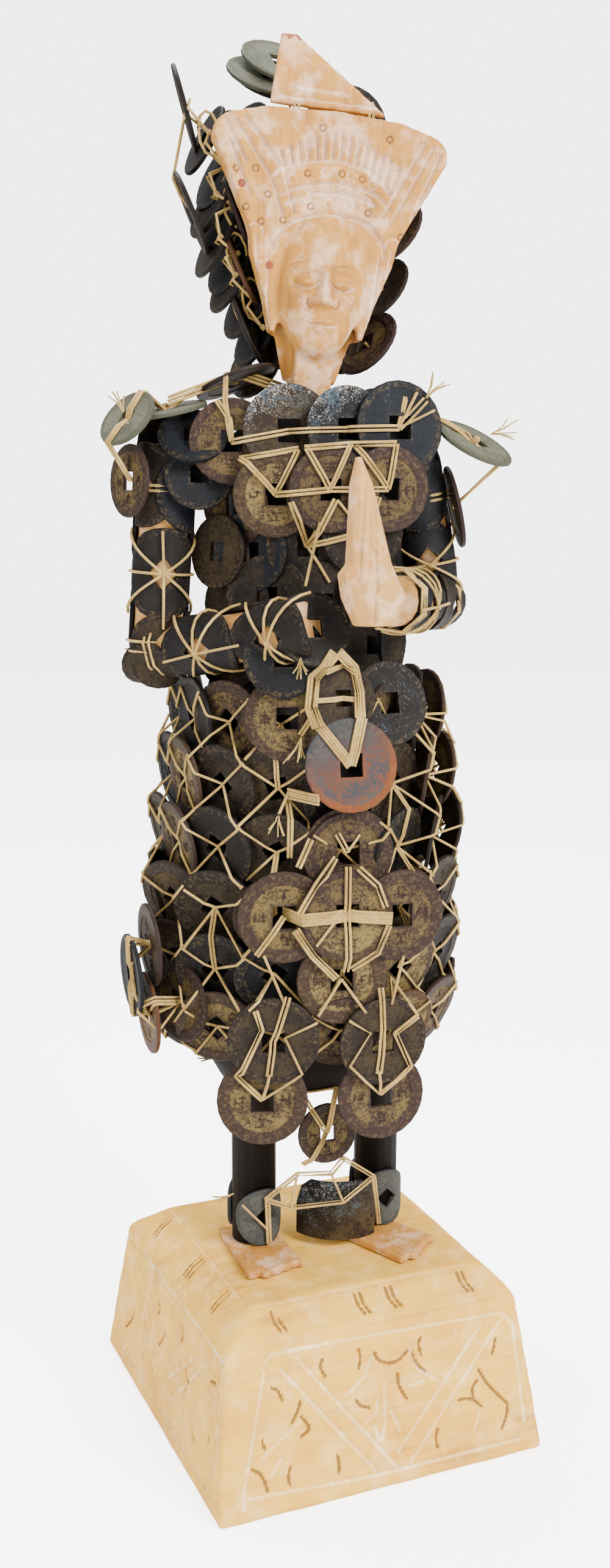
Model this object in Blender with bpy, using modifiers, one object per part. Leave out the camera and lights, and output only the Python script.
# A standing figure of carved wood, dressed in old square-holed coins, on a carved wooden plinth.
# Metres, +Z up. The origin is the middle of the plinth's underside, and the plinth's front faces -Y.

from math import asin, cos, hypot, pi, radians, sin

import bmesh
import bpy
from mathutils import Matrix, Vector

# Plinth: a low block with steep sides, a sloping border and a flat deck
FOOT_WIDTH = 0.108
FOOT_DEPTH = 0.115
RIDGE_INSET = (0.0055, 0.0100)
RIDGE_HEIGHT = 0.0485
BORDER = (0.0100, 0.0105)
BORDER_RISE = 0.0085
DECK_HEIGHT = RIDGE_HEIGHT + BORDER_RISE
DECK_SHIFT = 0.0020
PLINTH_EDGE = 0.0016

# Figure: where it stands on the deck, and how far it is turned from the plinth's front.
# The figure's heights are measured up from the deck, from the hem, or down from the neck.
STAND_AT = (-0.0015, 0.0050)
TURN = radians(-13)
GAP = 0.0003

# Coins. A laid coin is lifted by steps until it is clear of what is there
COIN_THICKNESS = 0.0013
COIN_HOLE = 0.0062
COIN_SIDES = 18
LIFT_STEP = 0.00025
COIN_SAMPLES = ((0.0, 1), (0.5, 12), (0.8, 16), (1.0, 72))
LARGE_COIN = 0.0272
COMMON_COIN = 0.0250
LESSER_COIN = 0.0213
SMALL_COIN = 0.0190

# Wooden body: (share of the way from hem to neck, half width, half depth)
HEM_HEIGHT = 0.0550
NECK_HEIGHT = 0.2620
BODY_SECTIONS = (
    (0.00, 0.0270, 0.0215),
    (0.06, 0.0335, 0.0265),
    (0.16, 0.0370, 0.0300),
    (0.28, 0.0368, 0.0300),
    (0.40, 0.0345, 0.0282),
    (0.50, 0.0310, 0.0255),
    (0.58, 0.0275, 0.0225),
    (0.66, 0.0235, 0.0175),
    (0.75, 0.0220, 0.0160),
    (0.86, 0.0230, 0.0165),
    (0.94, 0.0235, 0.0160),
    (0.975, 0.0215, 0.0140),
    (1.00, 0.0130, 0.0090),
)
BODY_SIDES = 28
BODY_RINGS = 26

# Legs: two round posts that stand on the feet, in sleeves of bent coin. They keep the plinth's line
RIGHT_LEG = (-0.0205, 0.0005)
LEFT_LEG = (0.0215, -0.0010)
LEG_RADIUS = 0.0070
LEG_OVERLAP = 0.0200
LEG_SIDES = 16
SLEEVE_WALL = 0.0013
SLEEVE_HEIGHT = 0.0185

# Coats of laced coins: rows of flat facets, one facet to a coin, each row leaning out at its top.
# The skirt's top row is measured up from the hem, the back's down from the neck.
COAT_THICKNESS = 0.0070
COAT_LEAN = 0.0014
COAT_ROW_FILL = 0.98
SKIRT_COLUMNS = 14
SKIRT_FIRST_ANGLE = radians(-6.4)
SKIRT_RISE = 0.1160
SKIRT_PITCH = 0.0185
SKIRT_REACH = 0.7
SKIRT_ROWS = 6
BACK_COLUMNS = 4
BACK_EDGE = radians(125)
BACK_DROP = 0.0200
BACK_PITCH = 0.0165
BACK_ROWS = 3
HOOD_COLUMNS = 7
HOOD_EDGE = radians(102)
HOOD_DROP = 0.0125
HOOD_PITCH = 0.0165
HOOD_ROWS = 4

# Arms: round sticks, mitred at the elbow. Shoulder and elbow: (gap outside the trunk, drop from the
# neck). Wrist: (place across, gap in front of the trunk, drop from the neck)
ARM_RADIUS = 0.0087
ARM_SIDES = 20
RIGHT_ARM = ((0.0090, 0.0110), (0.0130, 0.0720), (-0.0060, 0.0125, 0.0620))
LEFT_ARM = ((0.0013, 0.0165), (0.0080, 0.0575), (0.0190, 0.0120, 0.0550))

# Praying hands: (share of the height, left edge, right edge, depth)
HANDS_HEIGHT = 0.0460
HANDS_DROP = 0.0610
HANDS_GAP = 0.0013
HANDS_SIDES = 10
HANDS_SECTIONS = (
    (0.00, 0.0054, 0.0165, 0.0085),
    (0.17, 0.0020, 0.0200, 0.0120),
    (0.31, 0.0010, 0.0170, 0.0130),
    (0.37, 0.0031, 0.0158, 0.0120),
    (0.84, 0.0040, 0.0104, 0.0085),
    (1.00, 0.0056, 0.0072, 0.0040),
)

# Feet: thin plates with cut toes. Lengths forward and back of the leg, and (name, place, turn)
FOOT_FORWARD = 0.0221
FOOT_BACK = 0.0119
FOOT_BREADTH = 0.0185
FOOT_THICKNESS = 0.0024
TOES = 5
TOE_LENGTH = 0.0012
FEET = (("right_foot", (-0.0213, -0.0020), radians(-2)), ("left_foot", (0.0165, -0.0085), radians(24)))

# Head: one carved board with the face and the crown, and a flaring block behind it
HEAD_AT = (0.0005, 0.0010)
HEAD_LEAN = radians(4.8)
HEAD_BOARD = 0.0080
NECK_HALF = 0.0057
NECK_LENGTH = 0.0140
EAR_HALF = 0.0230
EAR_HEIGHT = 0.0475
CROWN_HALF = 0.0345
CROWN_SHOULDER = 0.0745
CROWN_TOP = 0.0830
PENDANT_OUT = 0.0134
PENDANT_TIP = 0.0197
FACE_HALF = 0.0125
FACE_HEIGHT = 0.0215
FACE_CENTRE = 0.0340
FACE_RELIEF = 0.0080
BLOCK_NECK = 0.0080
BLOCK_TOP = 0.0222
BLOCK_DROP = 0.0050
BLOCK_OVERLAP = 0.0010
BLOCK_RINGS = 6
BLOCK_SIDES = 12

# Crown plate: a lopsided gable tied on top of the crown
PLATE_CENTRE = -0.0015
PLATE_HALF = 0.0170
PLATE_HEIGHT = 0.0195
PLATE_PEAK = (-0.0150, -0.0105)
PLATE_THICKNESS = 0.0022
PLATE_TILT = radians(4)

# A bent coin that stands on the deck between the legs
BENT_AT = (0.0085, 0.0015)
BENT_RADIUS = 0.0165
BENT_SPAN = (radians(-74), radians(26))
BENT_HEIGHT = 0.0195
BENT_STEPS = 12
BENT_OUTLINE = ((1.0, 0.0), (1.0, 0.55), (0.86, 0.85), (0.62, 1.0))
SHIN_COIN_AT = (-0.0030, -0.0165)
SHIN_COIN_DROP = 0.0135


# Scene and small helpers
for old in list(bpy.data.objects):
    bpy.data.objects.remove(old)

collection = bpy.data.collections.new("coin_figure")
bpy.context.scene.collection.children.link(collection)
cutters = bpy.data.collections.new("cutters")
bpy.context.scene.collection.children.link(cutters)


def finish(name, colour, roughness, metallic=0.0):
    material = bpy.data.materials.new(name)
    material.use_nodes = True
    shader = material.node_tree.nodes["Principled BSDF"]
    shader.inputs["Base Color"].default_value = (*colour, 1.0)
    shader.inputs["Roughness"].default_value = roughness
    shader.inputs["Metallic"].default_value = metallic
    return material


PALE_WOOD = finish("pale_wood", (0.62, 0.42, 0.24), 0.6)
DARK_WOOD = finish("dark_wood", (0.10, 0.06, 0.04), 0.7)
DARK_COIN = finish("dark_coin", (0.045, 0.033, 0.032), 0.42, 0.5)
BRASS_COIN = finish("brass_coin", (0.14, 0.10, 0.045), 0.45, 0.6)
GREEN_COIN = finish("green_coin", (0.12, 0.15, 0.14), 0.6, 0.35)


def empty_at(name, location, parent=None, turn=(0, 0, 0)):
    holder = bpy.data.objects.new(name, None)
    holder.location = location
    holder.rotation_euler = turn
    holder.parent = parent
    collection.objects.link(holder)
    return holder


def add(name, data, material, parent=None, place=None):
    made = bpy.data.objects.new(name, data)
    data.materials.clear()
    data.materials.append(material)
    made.parent = parent
    if place is not None:
        made.matrix_local = place
    collection.objects.link(made)
    return made


def mesh_of(name, bm):
    bmesh.ops.recalc_face_normals(bm, faces=bm.faces)
    mesh = bpy.data.meshes.new(name)
    bm.to_mesh(mesh)
    bm.free()
    return mesh


def flat_outline(name, outlines, thickness):
    """A flat curve, filled and extruded to both sides of its own plane."""
    curve = bpy.data.curves.new(name, "CURVE")
    curve.dimensions = "2D"
    curve.fill_mode = "BOTH"
    curve.extrude = thickness / 2
    for points in outlines:
        spline = curve.splines.new("POLY")
        spline.points.add(len(points) - 1)
        for target, (x, y) in zip(spline.points, points):
            target.co = (x, y, 0, 1)
        spline.use_cyclic_u = True
    return curve


def solid_from_curve(curve):
    """The curve's own mesh, with its loose caps welded to its sides."""
    holder = bpy.data.objects.new("outline", curve)
    cutters.objects.link(holder)
    bpy.context.view_layer.update()
    graph = bpy.context.evaluated_depsgraph_get()
    mesh = bpy.data.meshes.new_from_object(holder.evaluated_get(graph))
    bpy.data.objects.remove(holder)
    bm = bmesh.new()
    bm.from_mesh(mesh)
    bmesh.ops.remove_doubles(bm, verts=bm.verts, dist=1e-6)
    return bm


def join(target, cutter, operation):
    """Applies a Boolean between two objects that share a parent, and removes the second."""
    cutter.hide_render = True
    cutter.display_type = "WIRE"
    modifier = target.modifiers.new(operation.lower(), "BOOLEAN")
    modifier.operation = operation
    modifier.object = cutter
    bpy.context.view_layer.update()
    graph = bpy.context.evaluated_depsgraph_get()
    mesh = bpy.data.meshes.new_from_object(target.evaluated_get(graph))
    target.modifiers.clear()
    target.data = mesh
    bpy.data.objects.remove(cutter)


def give_wall(shell, thickness):
    """Thickens an open surface inwards."""
    wall = shell.modifiers.new("wall", "SOLIDIFY")
    wall.thickness = thickness
    wall.offset = -1


def loft(rings):
    """A skin over rings of points, capped at both ends."""
    bm = bmesh.new()
    rows = [[bm.verts.new(point) for point in ring] for ring in rings]
    for lower, upper in zip(rows, rows[1:]):
        count = len(lower)
        for i in range(count):
            j = (i + 1) % count
            bm.faces.new((lower[i], lower[j], upper[j], upper[i]))
    bm.faces.new(rows[0])
    bm.faces.new(rows[-1])
    return bm


# Plinth


def rectangle_corners(inset, z, shift=0.0):
    half_width = FOOT_WIDTH / 2 - inset[0]
    half_depth = FOOT_DEPTH / 2 - inset[1]
    signs = ((-1, -1), (1, -1), (1, 1), (-1, 1))
    return [Vector((sx * half_width + shift, sy * half_depth, z)) for sx, sy in signs]


def make_plinth():
    deck_inset = (RIDGE_INSET[0] + BORDER[0], RIDGE_INSET[1] + BORDER[1])
    rings = [
        rectangle_corners((0, 0), 0.0),
        rectangle_corners(RIDGE_INSET, RIDGE_HEIGHT),
        rectangle_corners(deck_inset, DECK_HEIGHT, DECK_SHIFT),
    ]
    plinth = add("plinth", mesh_of("plinth", loft(rings)), PALE_WOOD)
    bevel = plinth.modifiers.new("worn_edges", "BEVEL")
    bevel.width = PLINTH_EDGE
    bevel.segments = 2
    bevel.limit_method = "ANGLE"
    bevel.angle_limit = radians(25)


# Body surface, which the coats and the coins are laid on


def between(sections, share):
    """Half width and half depth at this share of the height, eased between sections."""
    share = min(max(share, sections[0][0]), sections[-1][0])
    for lower, upper in zip(sections, sections[1:]):
        if share <= upper[0]:
            step = (share - lower[0]) / (upper[0] - lower[0])
            ease = step * step * (3 - 2 * step)
            mix = 0.5 * (step + ease)
            return tuple(low + (high - low) * mix for low, high in zip(lower[1:], upper[1:]))
    return sections[-1][1:]


def body_half(z):
    return between(BODY_SECTIONS, (z - HEM_HEIGHT) / (NECK_HEIGHT - HEM_HEIGHT))


def head_half(z):
    """Half width and half depth of the block behind the head, in the head's own frame."""
    share = min(max((z - NECK_LENGTH / 2) / (CROWN_TOP - NECK_LENGTH / 2), 0), 1)
    half = BLOCK_NECK + (BLOCK_TOP - BLOCK_NECK) * share**0.8
    return half, half


def on_surface(half_at, angle, z, out=0.0):
    """The point and the outward normal at an angle from the front, this far off the surface."""
    step = 0.0005
    half_width, half_depth = (value + out for value in half_at(z))
    upper = [value + out for value in half_at(z + step)]
    point = Vector((half_width * sin(angle), -half_depth * cos(angle), z))
    along = Vector((half_width * cos(angle), half_depth * sin(angle), 0))
    rise = Vector((upper[0] * sin(angle), -upper[1] * cos(angle), z + step)) - point
    return point, along.cross(rise).normalized()


def make_body(figure):
    rings = []
    for k in range(BODY_RINGS + 1):
        z = HEM_HEIGHT + (NECK_HEIGHT - HEM_HEIGHT) * k / BODY_RINGS
        angles = [2 * pi * i / BODY_SIDES for i in range(BODY_SIDES)]
        rings.append([on_surface(body_half, angle, z)[0] for angle in angles])
    body = add("body", mesh_of("body", loft(rings)), DARK_WOOD, figure)
    for spot in (RIGHT_LEG, LEFT_LEG):
        low = DECK_HEIGHT + FOOT_THICKNESS + 2 * GAP
        length = DECK_HEIGHT + HEM_HEIGHT + LEG_OVERLAP - low
        bm = bmesh.new()
        bmesh.ops.create_cone(
            bm,
            cap_ends=True,
            segments=LEG_SIDES,
            radius1=LEG_RADIUS,
            radius2=LEG_RADIUS,
            depth=length,
        )
        place = Matrix.Translation((*spot, low + length / 2))
        leg = add("leg", mesh_of("leg", bm), DARK_WOOD, place=place)
        join(body, leg, "UNION")


def make_sleeves():
    """Bent coins closed round each leg like cuffs, one on another."""
    for word, spot in (("right", RIGHT_LEG), ("left", LEFT_LEG)):
        for level in range(2):
            low = DECK_HEIGHT + FOOT_THICKNESS + 2 * GAP + level * (SLEEVE_HEIGHT + GAP)
            wide = (LEG_RADIUS + GAP + SLEEVE_WALL) / cos(pi / LEG_SIDES)
            bm = bmesh.new()
            bmesh.ops.create_cone(
                bm,
                cap_ends=False,
                segments=LEG_SIDES,
                radius1=wide,
                radius2=wide,
                depth=SLEEVE_HEIGHT,
            )
            name = f"{word}_ankle_coin_{level + 1}"
            place = Matrix.Translation((*spot, low + SLEEVE_HEIGHT / 2))
            give_wall(add(name, mesh_of(name, bm), GREEN_COIN, place=place), SLEEVE_WALL)


# Coats of laced coins


def widest(half_at, z, reach):
    """The largest half width and half depth near this height, so that a flat wall clears the bulge."""
    near = [half_at(z + reach * share) for share in (-1, -0.5, 0, 0.5, 1)]
    return max(half[0] for half in near), max(half[1] for half in near)


def make_coat(name, half_at, first_angle, last_angle, columns, top_row, pitch, rows, parent):
    """A stepped shell round the wood: every row is a ring of flat facets that lean out at the top."""
    whole_round = last_angle - first_angle > 2 * pi - 1e-6
    step = (last_angle - first_angle) / columns
    grow = 1 / cos(step / 2)
    angles = [first_angle + step * i for i in range(columns if whole_round else columns + 1)]
    outer, inner = [], []
    for row in range(rows):
        middle = top_row - row * pitch
        for height, lean in ((pitch / 2, COAT_LEAN), (-pitch / 2, -COAT_LEAN)):
            z = middle + height * COAT_ROW_FILL
            half_width, half_depth = widest(half_at, z, pitch / 2)
            wide = (half_width + COAT_THICKNESS + lean) * grow
            deep = (half_depth + COAT_THICKNESS + lean) * grow
            outer.append([(wide * sin(a), -deep * cos(a), z) for a in angles])
            wide, deep = half_width * grow + 2 * GAP, half_depth * grow + 2 * GAP
            inner.append([(wide * sin(a), -deep * cos(a), z) for a in angles])
    bm = bmesh.new()
    outside = [[bm.verts.new(point) for point in ring] for ring in outer]
    inside = [[bm.verts.new(point) for point in ring] for ring in inner]
    spans = len(angles) if whole_round else len(angles) - 1
    for skin in (outside, inside):
        for upper, lower in zip(skin, skin[1:]):
            for i in range(spans):
                j = (i + 1) % len(angles)
                bm.faces.new((upper[i], upper[j], lower[j], lower[i]))
    for end in (0, -1):
        for i in range(spans):
            j = (i + 1) % len(angles)
            bm.faces.new((outside[end][i], outside[end][j], inside[end][j], inside[end][i]))
    if not whole_round:
        for i in (0, -1):
            for k in range(len(outside) - 1):
                bm.faces.new((outside[k][i], outside[k + 1][i], inside[k + 1][i], inside[k][i]))
    add(name, mesh_of(name, bm), DARK_COIN, parent)


def coat_half(z):
    """The body with its coat, as the surface that outer coins are laid on."""
    grow = 1 / cos(pi / SKIRT_COLUMNS)
    half = widest(body_half, z, SKIRT_PITCH * SKIRT_REACH)
    return tuple((value + COAT_THICKNESS + COAT_LEAN) * grow for value in half)


# Arms


def arm_points(side, arm):
    """Shoulder, elbow and wrist, each set off from the trunk by its own gap."""
    points = []
    for gap, drop in arm[:2]:
        z = NECK_HEIGHT - drop
        points.append(Vector((side * (body_half(z)[0] + ARM_RADIUS + gap), 0, z)))
    across, gap, drop = arm[2]
    z = NECK_HEIGHT - drop
    points.append(Vector((across, -(body_half(z)[1] + ARM_RADIUS + gap), z)))
    return points


def arm_sticks():
    sticks = []
    for side, arm in ((-1, RIGHT_ARM), (1, LEFT_ARM)):
        shoulder, elbow, wrist = arm_points(side, arm)
        sticks += [(shoulder, elbow), (elbow, wrist)]
    return sticks


def ring_round(centre, direction, cut_normal, radius):
    """A round section slid along the stick onto a plane through its centre."""
    direction, cut_normal = direction.normalized(), cut_normal.normalized()
    across = direction.cross(Vector((0, 0, 1)))
    if across.length < 0.1:
        across = direction.cross(Vector((0, 1, 0)))
    across.normalize()
    other = direction.cross(across)
    ring = []
    for i in range(ARM_SIDES):
        angle = 2 * pi * i / ARM_SIDES
        offset = across * radius * cos(angle) + other * radius * sin(angle)
        slide = -offset.dot(cut_normal) / direction.dot(cut_normal)
        ring.append(centre + offset + direction * slide)
    return ring


def make_arm(name, side, arm, figure):
    shoulder, elbow, wrist = arm_points(side, arm)
    upper = (elbow - shoulder).normalized()
    lower = (wrist - elbow).normalized()
    mitre = upper + lower
    rings = [ring_round(shoulder, upper, upper, ARM_RADIUS), ring_round(elbow, upper, mitre, ARM_RADIUS)]
    whole = add(name, mesh_of(name, loft(rings)), PALE_WOOD, figure)
    rings = [ring_round(elbow, lower, mitre, ARM_RADIUS), ring_round(wrist, lower, lower, ARM_RADIUS)]
    rings[0] = [point - lower * 2 * GAP for point in rings[0]]
    forearm = add("forearm", mesh_of("forearm", loft(rings)), PALE_WOOD, figure)
    join(whole, forearm, "UNION")


def make_hands(figure):
    """Two tapering hands, palm to palm, just past the wrists."""
    wrist = arm_points(-1, RIGHT_ARM)[2]
    base = Vector((0, wrist.y - ARM_RADIUS - HANDS_GAP, NECK_HEIGHT - HANDS_DROP))
    rings = []
    for share, low, high, depth in HANDS_SECTIONS:
        ring = []
        for i in range(HANDS_SIDES):
            angle = 2 * pi * (i + 0.5) / HANDS_SIDES
            x = (low + high) / 2 + (high - low) / 2 * sin(angle) / cos(pi / HANDS_SIDES)
            ring.append(base + Vector((x, -depth / 2 * cos(angle), HANDS_HEIGHT * share)))
        rings.append(ring)
    add("hands", mesh_of("hands", loft(rings)), PALE_WOOD, figure)


# Feet


def foot_outline():
    """Heel to toes along -Y, with a notch between each two toes and the big toe longest."""
    half = FOOT_BREADTH / 2
    side = -FOOT_FORWARD + TOE_LENGTH
    toe = FOOT_BREADTH / TOES
    points = [(-half * 0.9, FOOT_BACK), (-half, side)]
    for i in range(TOES):
        left = -half + toe * i
        front = -FOOT_FORWARD + TOE_LENGTH * abs(i - 1)
        points.append((left + toe * 0.25, front))
        points.append((left + toe * 0.75, front))
        if i < TOES - 1:
            points.append((left + toe, front + TOE_LENGTH))
    points += [(half, side + TOE_LENGTH), (half * 0.9, FOOT_BACK)]
    return points


def make_foot(name, at, turn):
    """A thin plate that lies on the deck, with the leg standing on it."""
    bm = solid_from_curve(flat_outline(name, [foot_outline()], FOOT_THICKNESS))
    z = DECK_HEIGHT + GAP + FOOT_THICKNESS / 2
    place = Matrix.Translation((*at, z)) @ Matrix.Rotation(turn, 4, "Z")
    add(name, mesh_of(name, bm), PALE_WOOD, place=place)


# Head


def head_outline():
    """The board's outline, from the neck up one side and over the crown."""
    half = [
        (NECK_HALF * 0.60, 0.0),
        (NECK_HALF, 0.0035),
        (NECK_HALF, NECK_LENGTH),
        (NECK_HALF + 0.0015, PENDANT_TIP),
        (PENDANT_OUT - 0.0022, PENDANT_TIP + 0.0090),
        (PENDANT_OUT - 0.0010, PENDANT_TIP),
        (PENDANT_OUT + 0.0004, PENDANT_TIP + 0.0004),
        (PENDANT_OUT + 0.0030, PENDANT_TIP + 0.0100),
        (EAR_HALF - 0.0022, EAR_HEIGHT - 0.0060),
        (EAR_HALF - 0.0012, EAR_HEIGHT),
        (EAR_HALF, EAR_HEIGHT + 0.0030),
        (CROWN_HALF, CROWN_SHOULDER - 0.0020),
        (CROWN_HALF * 0.985, CROWN_SHOULDER + 0.0018),
        (CROWN_HALF * 0.90, CROWN_SHOULDER + 0.0045),
        (CROWN_HALF * 0.58, CROWN_TOP - 0.0010),
        (0.0, CROWN_TOP),
    ]
    return half + [(-x, z) for x, z in reversed(half[:-1])]


def make_head(head):
    """The board with the face on its front, joined to the block that the hood hangs on."""
    bm = solid_from_curve(flat_outline("board", [head_outline()], HEAD_BOARD))
    upright = Matrix.Rotation(radians(90), 4, "X")
    place = Matrix.Translation((0, -HEAD_BOARD / 2, 0)) @ upright
    bm.transform(place)
    board = add("head", mesh_of("head", bm), PALE_WOOD, head)

    bm = bmesh.new()
    bmesh.ops.create_uvsphere(bm, u_segments=20, v_segments=14, radius=1.0)
    shape = Matrix.Diagonal((FACE_HALF, FACE_RELIEF, FACE_HEIGHT, 1))
    bm.transform(Matrix.Translation((0, -HEAD_BOARD + 0.001, FACE_CENTRE)) @ shape)
    face = add("face", mesh_of("face", bm), PALE_WOOD, head)
    join(board, face, "UNION")

    rings = []
    low, high = NECK_LENGTH / 2, CROWN_TOP - BLOCK_DROP
    for k in range(BLOCK_RINGS + 1):
        z = low + (high - low) * k / BLOCK_RINGS
        half, _ = head_half(z)
        angles = [pi / 2 + pi * i / BLOCK_SIDES for i in range(BLOCK_SIDES + 1)]
        rings.append([Vector((half * sin(a), -half * cos(a) - BLOCK_OVERLAP, z)) for a in angles])
    block = add("block", mesh_of("block", loft(rings)), PALE_WOOD, head)
    join(board, block, "UNION")


def make_crown_plate(head):
    outline = [(-PLATE_HALF, 0.0), (PLATE_HALF, 0.0), (PLATE_HALF * 0.94, 0.0012),
               (PLATE_PEAK[1], PLATE_HEIGHT), (PLATE_PEAK[0], PLATE_HEIGHT)]
    bm = solid_from_curve(flat_outline("crown_plate", [outline], PLATE_THICKNESS))
    stand = Matrix.Translation((PLATE_CENTRE, -HEAD_BOARD / 2, CROWN_TOP + 2 * GAP))
    tilt = Matrix.Rotation(radians(90) - PLATE_TILT, 4, "X")
    add("crown_plate", mesh_of("crown_plate", bm), PALE_WOOD, head, stand @ tilt)


# Coins


def coin_outlines(diameter):
    radius = diameter / 2
    rim = [(radius * cos(a), radius * sin(a)) for a in
           [2 * pi * i / COIN_SIDES for i in range(COIN_SIDES)]]
    half = COIN_HOLE / 2
    return [rim, [(-half, -half), (-half, half), (half, half), (half, -half)]]


class Laid:
    """A coin that is already in place, kept so that the next ones can be laid clear of it."""

    def __init__(self, centre, normal, diameter):
        self.centre = centre
        self.normal = normal
        self.radius = diameter / 2

    def points(self):
        across = self.normal.orthogonal().normalized()
        other = self.normal.cross(across)
        for share, steps in COIN_SAMPLES:
            for i in range(steps):
                angle = 2 * pi * i / steps
                flat = across * cos(angle) + other * sin(angle)
                middle = self.centre + flat * self.radius * share
                yield middle + self.normal * COIN_THICKNESS / 2
                yield middle - self.normal * COIN_THICKNESS / 2

    def holds(self, point):
        offset = point - self.centre
        height = offset.dot(self.normal)
        if abs(height) > COIN_THICKNESS / 2 + GAP:
            return False
        return (offset - self.normal * height).length < self.radius + GAP


def off_stick(point, start, end):
    """How far a point is from the middle line of a stick."""
    along = end - start
    share = min(max((point - start).dot(along) / along.length_squared, 0), 1)
    return (point - start - along * share).length


def touches(coin, laid, solid):
    if solid is not None:
        half_at, top, bottom = solid
        for point in coin.points():
            if bottom < point.z < top:
                half_width, half_depth = half_at(point.z)
                if hypot(point.x / (half_width + GAP), point.y / (half_depth + GAP)) < 1:
                    return True
            if any(off_stick(point, *stick) < ARM_RADIUS + GAP for stick in arm_sticks()):
                return True
    for other in laid:
        if (other.centre - coin.centre).length > other.radius + coin.radius + COIN_THICKNESS:
            continue
        if any(other.holds(point) for point in coin.points()):
            return True
        if any(coin.holds(point) for point in other.points()):
            return True
    return False


TRUNK = (body_half, NECK_HEIGHT, HEM_HEIGHT)
COATED = (coat_half, NECK_HEIGHT, HEM_HEIGHT)


def lay(name, point, normal, diameter, laid, material, parent, solid=None, spin=0.0):
    """Places a coin flat on a point, lifted along its normal until it is clear of what is there."""
    normal = normal.normalized()
    coin = Laid(point + normal * (COIN_THICKNESS / 2 + GAP), normal, diameter)
    while touches(coin, laid, solid):
        coin.centre = coin.centre + normal * LIFT_STEP
    laid.append(coin)
    turn = normal.to_track_quat("Z", "Y").to_matrix().to_4x4() @ Matrix.Rotation(spin, 4, "Z")
    place = Matrix.Translation(coin.centre) @ turn
    add(name, flat_outline(name, coin_outlines(diameter), COIN_THICKNESS), material, parent, place)


def facing(tip, swing):
    """A normal that faces the front, tipped down and swung to the figure's left, in degrees."""
    return Matrix.Rotation(radians(swing), 3, "Z") @ Vector((0, -cos(radians(tip)), -sin(radians(tip))))


def front_of(half_at, across, z):
    """The point on the front at this distance to the side of the middle, and its normal."""
    share = max(-0.97, min(0.97, across / half_at(z)[0]))
    return on_surface(half_at, asin(share), z)


def make_chest_coins(figure, laid):
    """Three rows in brick bond down the chest, each laid over the row above and leaning out at the top."""
    spots = (
        ("left_shoulder_coin_1", 0.0280, 0.0105, -6, 20, LARGE_COIN, GREEN_COIN),
        ("collar_coin_1", -0.0232, 0.0111, -6, -8, COMMON_COIN, BRASS_COIN),
        ("collar_coin_2", -0.0078, 0.0075, -6, 3, LARGE_COIN, GREEN_COIN),
        ("collar_coin_3", 0.0084, 0.0072, -6, 8, COMMON_COIN, GREEN_COIN),
        ("collar_coin_4", 0.0235, 0.0077, -6, 12, LARGE_COIN, DARK_COIN),
        ("chest_coin_1", -0.0118, 0.0250, 2, -2, COMMON_COIN, BRASS_COIN),
        ("chest_coin_2", 0.0030, 0.0236, 2, 5, COMMON_COIN, BRASS_COIN),
        ("chest_coin_3", 0.0185, 0.0232, 2, 10, COMMON_COIN, BRASS_COIN),
        ("midriff_coin_1", -0.0022, 0.0400, 3, 0, COMMON_COIN, DARK_COIN),
        ("midriff_coin_2", 0.0131, 0.0360, 3, 6, COMMON_COIN, DARK_COIN),
    )
    for name, across, drop, tip, swing, diameter, material in spots:
        point, _ = front_of(body_half, across, NECK_HEIGHT - drop)
        lay(name, point, facing(tip, swing), diameter, laid, material, figure, TRUNK)


def make_front_coins(figure, laid):
    """The waist, the cross of four with a fifth over its middle, the knees and the coin on a long tie."""
    spots = (
        ("right_waist_coin", -0.0108, 0.1185, COMMON_COIN, DARK_COIN, 0, 0),
        ("middle_waist_coin", 0.0045, 0.1235, SMALL_COIN, DARK_COIN, -4, 0),
        ("left_waist_coin", 0.0190, 0.1216, COMMON_COIN, GREEN_COIN, -4, 0),
        ("apron_upper_coin", 0.0059, 0.0795, LARGE_COIN, BRASS_COIN, 0, 0),
        ("apron_lower_coin", 0.0041, 0.0418, LARGE_COIN, BRASS_COIN, 2, 0),
        ("apron_right_coin", -0.0130, 0.0619, LARGE_COIN, GREEN_COIN, 0, 6),
        ("apron_left_coin", 0.0205, 0.0606, LARGE_COIN, BRASS_COIN, 0, -4),
        ("apron_middle_coin", 0.0044, 0.0624, LARGE_COIN, BRASS_COIN, 0, 0),
        ("hanging_coin", 0.0056, 0.1046, LARGE_COIN, BRASS_COIN, -4, 0),
        ("right_knee_upper_coin", -0.0157, 0.0244, LARGE_COIN, DARK_COIN, 4, 4),
        ("left_knee_upper_coin", 0.0163, 0.0224, LARGE_COIN, DARK_COIN, 4, -4),
    )
    for name, across, rise, diameter, material, tip, swing in spots:
        point, normal = front_of(coat_half, across, HEM_HEIGHT + rise)
        normal = (normal + Vector((0, -0.5, 0))).normalized()
        side = Vector((normal.x, normal.y, 0)).cross(Vector((0, 0, 1))).normalized()
        normal = Matrix.Rotation(radians(swing), 3, "Z") @ Matrix.Rotation(radians(-tip), 3, side) @ normal
        lay(name, point, normal, diameter, laid, material, figure, COATED)
    hang = -coat_half(HEM_HEIGHT + 0.0244)[1] * 0.92
    for name, across, rise, swing in (
        ("right_knee_lower_coin", -0.0188, 0.0045, -8),
        ("left_knee_lower_coin", 0.0169, 0.0040, 8),
    ):
        point = Vector((across, hang, HEM_HEIGHT + rise))
        lay(name, point, facing(-3, swing), LARGE_COIN, laid, BRASS_COIN, figure, TRUNK)


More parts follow.
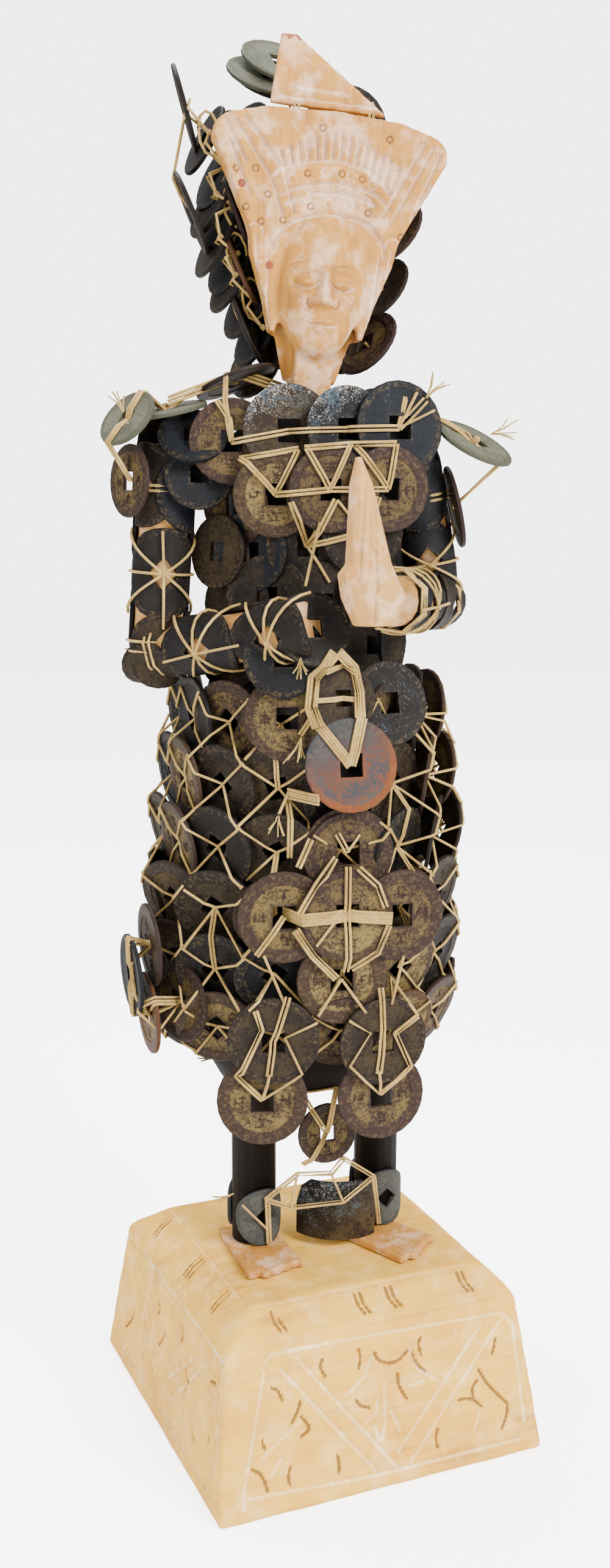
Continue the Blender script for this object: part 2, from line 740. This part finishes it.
def make_hip_coins(figure, laid):
    """Four coins laced in a cross at the right hip: one flat on the skirt and three that stand off it."""
    point, normal = front_of(coat_half, -0.0405, HEM_HEIGHT + 0.0310)
    lay("hip_back_coin", point, normal, COMMON_COIN, laid, DARK_COIN, figure, COATED)
    normal = Vector((-0.985, -0.17, -0.0570))
    for name, out, y, rise in (
        ("hip_upper_coin", 0.0027, -0.0190, 0.0490),
        ("hip_lower_coin", 0.0027, -0.0180, 0.0275),
        ("hip_front_coin", 0.0082, -0.0180, 0.0395),
    ):
        z = HEM_HEIGHT + rise
        point = Vector((-coat_half(z)[0] - out, y, z))
        lay(name, point, normal, COMMON_COIN, laid, DARK_COIN, figure, COATED, spin=radians(10))


def make_shoulder_coins(figure, laid):
    """Coins tied over the points of the shoulders and down the outside of the arms."""
    right, left = arm_points(-1, RIGHT_ARM)[0], arm_points(1, LEFT_ARM)[0]
    neck = Vector((0, 0, NECK_HEIGHT))
    spots = (
        ("right_shoulder_coin_1", right, (-0.0008, -0.0010, 0.0090), (-0.20, -0.14, 1.0), COMMON_COIN),
        ("right_shoulder_coin_2", right, (-0.0088, -0.0055, 0.0035), (-0.62, -0.50, 0.60), SMALL_COIN),
        ("right_shoulder_coin_3", right, (-0.0113, -0.0060, -0.0105), (-0.90, -0.44, 0.05), LESSER_COIN),
        ("right_collar_coin", neck, (-0.0188, 0.0030, 0.0034), (-0.33, 0.20, 0.92), COMMON_COIN),
        ("left_shoulder_coin_2", left, (0.0145, -0.0060, 0.0010), (0.35, -0.40, 0.84), COMMON_COIN),
        ("left_shoulder_coin_3", left, (0.0110, -0.0030, -0.0128), (0.97, -0.13, 0.22), COMMON_COIN),
        ("left_collar_coin", neck, (0.0215, 0.0040, 0.0000), (0.25, -0.02, 1.0), COMMON_COIN),
    )
    for name, start, offset, normal, diameter in spots:
        lay(name, start + Vector(offset), Vector(normal), diameter, laid, GREEN_COIN, figure, TRUNK)


def make_ankle_coins(laid):
    """A bent coin that stands on the left foot between the legs, and a small one hung above it."""
    low = DECK_HEIGHT + FOOT_THICKNESS + 2 * GAP
    middle = (BENT_SPAN[0] + BENT_SPAN[1]) / 2
    bm = bmesh.new()
    rows = []
    for share, height in BENT_OUTLINE:
        reach = (BENT_SPAN[1] - BENT_SPAN[0]) / 2 * share
        angles = [middle + reach * (2 * i / BENT_STEPS - 1) for i in range(BENT_STEPS + 1)]
        z = low + BENT_HEIGHT * height
        rows.append([bm.verts.new((BENT_RADIUS * sin(a), -BENT_RADIUS * cos(a), z)) for a in angles])
    for lower, upper in zip(rows, rows[1:]):
        for i in range(BENT_STEPS):
            bm.faces.new((lower[i], lower[i + 1], upper[i + 1], upper[i]))
    place = Matrix.Translation((*BENT_AT, 0))
    bent = add("bent_ankle_coin", mesh_of("bent_ankle_coin", bm), GREEN_COIN, place=place)
    give_wall(bent, COIN_THICKNESS)
    spot = Vector((*SHIN_COIN_AT, DECK_HEIGHT + HEM_HEIGHT - SHIN_COIN_DROP))
    lay("shin_coin", spot, Vector((-0.05, -1, 0.06)), SMALL_COIN, laid, BRASS_COIN, None)


def make_crown_coins(head):
    """Two coins lying on the hood's top behind the gable, and two that stand out of the hood's side."""
    laid = []
    for name, place, rise, normal, diameter in (
        ("crown_top_coin_1", (-0.0163, 0.0160), 0.0115, (0.10, -0.55, 0.83), LARGE_COIN),
        ("crown_top_coin_2", (-0.0134, 0.0205), 0.0155, (0.15, -0.60, 0.78), COMMON_COIN),
    ):
        point = Vector((*place, CROWN_TOP + rise))
        lay(name, point, Vector(normal), diameter, laid, GREEN_COIN, head)
    for name, out, drop, normal in (
        ("hood_side_coin_1", 0.0113, 0.0000, (-0.905, 0.12, -0.337)),
        ("hood_side_coin_2", 0.0118, 0.0290, (-0.855, 0.087, -0.448)),
    ):
        z = CROWN_TOP - drop
        point = Vector((-head_half(z)[0] - COAT_THICKNESS - out, 0.0120, z))
        lay(name, point, Vector(normal), COMMON_COIN, laid, GREEN_COIN, head)


def main():
    make_plinth()
    figure = empty_at("figure", (*STAND_AT, DECK_HEIGHT), turn=(0, 0, TURN))
    head = empty_at("head_frame", (*HEAD_AT, NECK_HEIGHT + GAP), figure, turn=(0, HEAD_LEAN, 0))
    make_body(figure)
    make_sleeves()
    start = SKIRT_FIRST_ANGLE - pi / SKIRT_COLUMNS
    make_coat("skirt_coins", body_half, start, start + 2 * pi, SKIRT_COLUMNS, HEM_HEIGHT + SKIRT_RISE,
              SKIRT_PITCH, SKIRT_ROWS, figure)
    make_coat("back_coins", body_half, BACK_EDGE, 2 * pi - BACK_EDGE, BACK_COLUMNS,
              NECK_HEIGHT - BACK_DROP, BACK_PITCH, BACK_ROWS, figure)
    make_arm("right_arm", -1, RIGHT_ARM, figure)
    make_arm("left_arm", 1, LEFT_ARM, figure)
    make_hands(figure)
    for name, at, turn in FEET:
        make_foot(name, at, turn)
    make_head(head)
    make_coat("hood_coins", head_half, HOOD_EDGE, 2 * pi - HOOD_EDGE, HOOD_COLUMNS,
              CROWN_TOP - HOOD_DROP, HOOD_PITCH, HOOD_ROWS, head)
    make_crown_plate(head)
    make_crown_coins(head)
    laid = []
    make_chest_coins(figure, laid)
    make_front_coins(figure, laid)
    make_hip_coins(figure, laid)
    make_shoulder_coins(figure, laid)
    make_ankle_coins(laid)


main()
